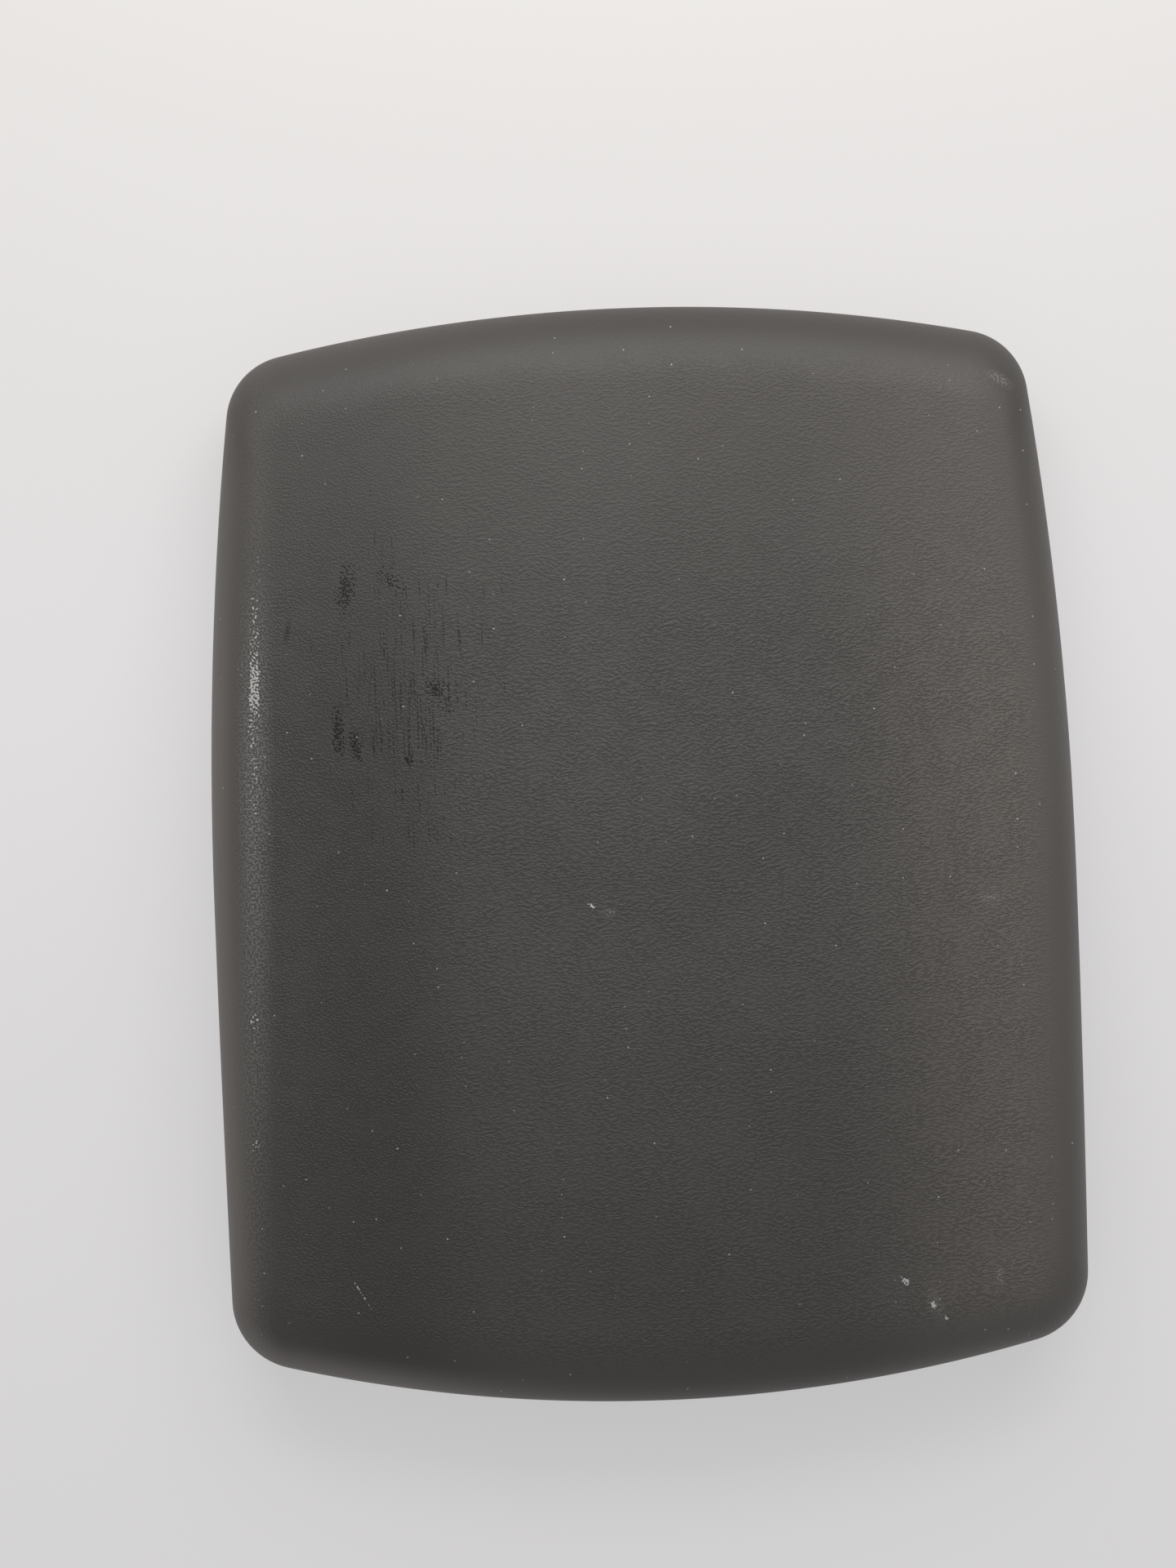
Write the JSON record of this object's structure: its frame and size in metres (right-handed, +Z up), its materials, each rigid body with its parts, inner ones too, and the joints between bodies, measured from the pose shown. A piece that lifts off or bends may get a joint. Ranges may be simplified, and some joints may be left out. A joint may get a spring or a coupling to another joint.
{
  "type": "center console armrest lid",
  "caption": "Padded center console armrest lid in dark grained skin over foam, on a ribbed carrier, with an inner liner, hinge bracket and paddle latch.",
  "frame": {"origin": "centre of the lid's box, on the plane of its lower rim", "axes": "+Z up through the padded top, +Y towards the latch end, which faces the front of the vehicle, +X to the vehicle's right"},
  "size_m": [0.266, 0.338, 0.046],
  "materials": {
    "grained_skin": "fine grained, satin, scuffed",
    "foam": "moulded foam, matte",
    "carrier_plastic": "moulded, matte",
    "liner_plastic": "fine texture, matte",
    "latch_plastic": "moulded, satin",
    "zinc_plated_steel": "zinc plated",
    "spring_steel": "drawn, oiled",
    "black_steel": "black oxide",
    "bush_nylon": "natural nylon",
    "bumper_rubber": "matte"
  },
  "bodies": {
    "hinge_base": {"hinge_base_bracket": "zinc_plated_steel", "hinge_pin": "zinc_plated_steel", "hinge_pin_clip": "spring_steel", "hinge_bush_left": "bush_nylon", "hinge_bush_right": "bush_nylon"},
    "lid": {"cover_skin": "grained_skin", "foam_pad": "foam", "armrest_core": "carrier_plastic", "inner_liner": "liner_plastic", "liner_screw_1": "black_steel", "liner_screw_2": "black_steel", "liner_screw_3": "black_steel", "liner_screw_4": "black_steel", "liner_screw_5": "black_steel", "liner_screw_6": "black_steel", "liner_screw_7": "black_steel", "liner_screw_8": "black_steel", "latch_screw_1": "black_steel", "latch_screw_2": "black_steel", "hinge_screw_1": "black_steel", "hinge_screw_2": "black_steel", "hinge_screw_3": "black_steel", "hinge_screw_4": "black_steel", "bumper_1": "bumper_rubber", "bumper_2": "bumper_rubber", "bumper_3": "bumper_rubber", "bumper_4": "bumper_rubber", "latch_bezel": "latch_plastic", "latch_pin": "zinc_plated_steel", "latch_spring": "spring_steel", "hinge_lid_bracket": "zinc_plated_steel", "hinge_spring": "spring_steel"},
    "latch": {"latch_lever": "latch_plastic"}
  },
  "joints": [
    {"name": "lid_hinge", "type": "hinge", "parent": "hinge_base", "child": "lid", "pos_m": [0, -0.144, 0.0095], "axis": [1, 0, 0], "range_deg": [0, 95], "stiffness_Nm_per_rad": 0.036, "springref_deg": 95.11},
    {"name": "latch_pivot", "type": "hinge", "parent": "lid", "child": "latch", "pos_m": [0, 0.14, 0.013], "axis": [1, 0, 0], "range_deg": [0, 18], "stiffness_Nm_per_rad": 0.02, "springref_deg": -28.65, "deforming": ["latch_spring"]}
  ]
}
